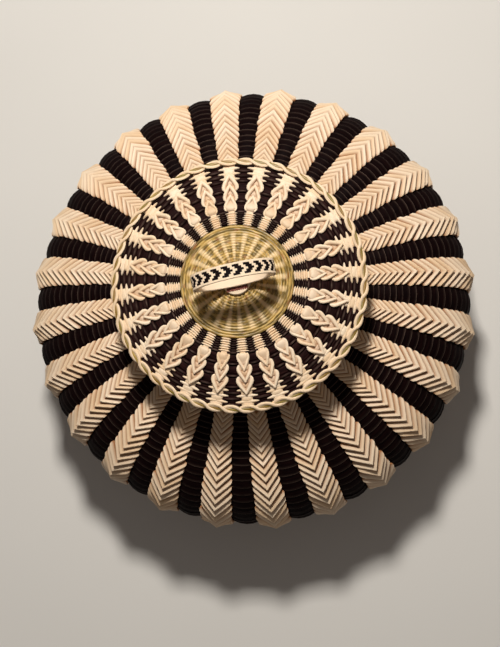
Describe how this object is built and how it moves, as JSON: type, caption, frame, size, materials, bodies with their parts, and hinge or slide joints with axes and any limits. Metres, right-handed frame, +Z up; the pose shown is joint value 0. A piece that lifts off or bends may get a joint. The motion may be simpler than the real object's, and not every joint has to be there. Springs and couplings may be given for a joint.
{
  "type": "lidded splint basket",
  "caption": "Round lidded splint basket with radiating folded points, dark woven panels, a domed lid, braided rim and an oval ring handle.",
  "frame": {"origin": "centre of the underside of the base, on the surface the basket stands on", "axes": "+Z up through the mouth, the lid and its handle; +X along the middle of one column of points, close to the width of the ring handle"},
  "size_m": [0.3196, 0.3196, 0.2008],
  "materials": {
    "natural_ash": "matte natural splint",
    "dyed_ash": "dark dyed splint with a low sheen",
    "sweetgrass": "dry twined grass",
    "dark_thread": "waxed thread"
  },
  "bodies": {
    "basket": {"base_disc": "natural_ash", "wall_weave": "dyed_ash", "mouth_hoop_outer": "natural_ash", "mouth_hoop_inner": "natural_ash", "point_column_01": "natural_ash", "point_column_02": "natural_ash", "point_column_03": "natural_ash", "point_column_04": "natural_ash", "point_column_05": "natural_ash", "point_column_06": "natural_ash", "point_column_07": "natural_ash", "point_column_08": "natural_ash", "point_column_09": "natural_ash", "point_column_10": "natural_ash", "point_column_11": "natural_ash", "point_column_12": "natural_ash", "point_column_13": "natural_ash", "point_column_14": "natural_ash", "point_column_15": "natural_ash", "point_column_16": "natural_ash", "point_column_17": "natural_ash", "point_column_18": "natural_ash", "point_column_19": "natural_ash", "point_column_20": "natural_ash", "point_column_21": "natural_ash", "point_column_22": "natural_ash", "point_column_23": "natural_ash", "point_column_24": "natural_ash"},
    "lid": {"lid_weave": "dyed_ash", "lid_centre": "sweetgrass", "lid_rim_hoop": "natural_ash", "lid_rim_braid": "natural_ash", "lid_collar": "natural_ash", "handle_ring": "natural_ash", "handle_band": "natural_ash", "handle_tie": "dark_thread", "lid_points_01": "natural_ash", "lid_points_02": "natural_ash", "lid_points_03": "natural_ash", "lid_points_04": "natural_ash", "lid_points_05": "natural_ash", "lid_points_06": "natural_ash", "lid_points_07": "natural_ash", "lid_points_08": "natural_ash", "lid_points_09": "natural_ash", "lid_points_10": "natural_ash", "lid_points_11": "natural_ash", "lid_points_12": "natural_ash", "lid_points_13": "natural_ash", "lid_points_14": "natural_ash", "lid_points_15": "natural_ash", "lid_points_16": "natural_ash", "lid_points_17": "natural_ash", "lid_points_18": "natural_ash", "lid_points_19": "natural_ash", "lid_points_20": "natural_ash", "lid_points_21": "natural_ash", "lid_points_22": "natural_ash", "lid_points_23": "natural_ash", "lid_points_24": "natural_ash"}
  },
  "joints": [
    {"name": "lid_lift", "type": "slide", "parent": "basket", "child": "lid", "axis": [0, 0, 1], "range_m": [0, 0.15]}
  ]
}
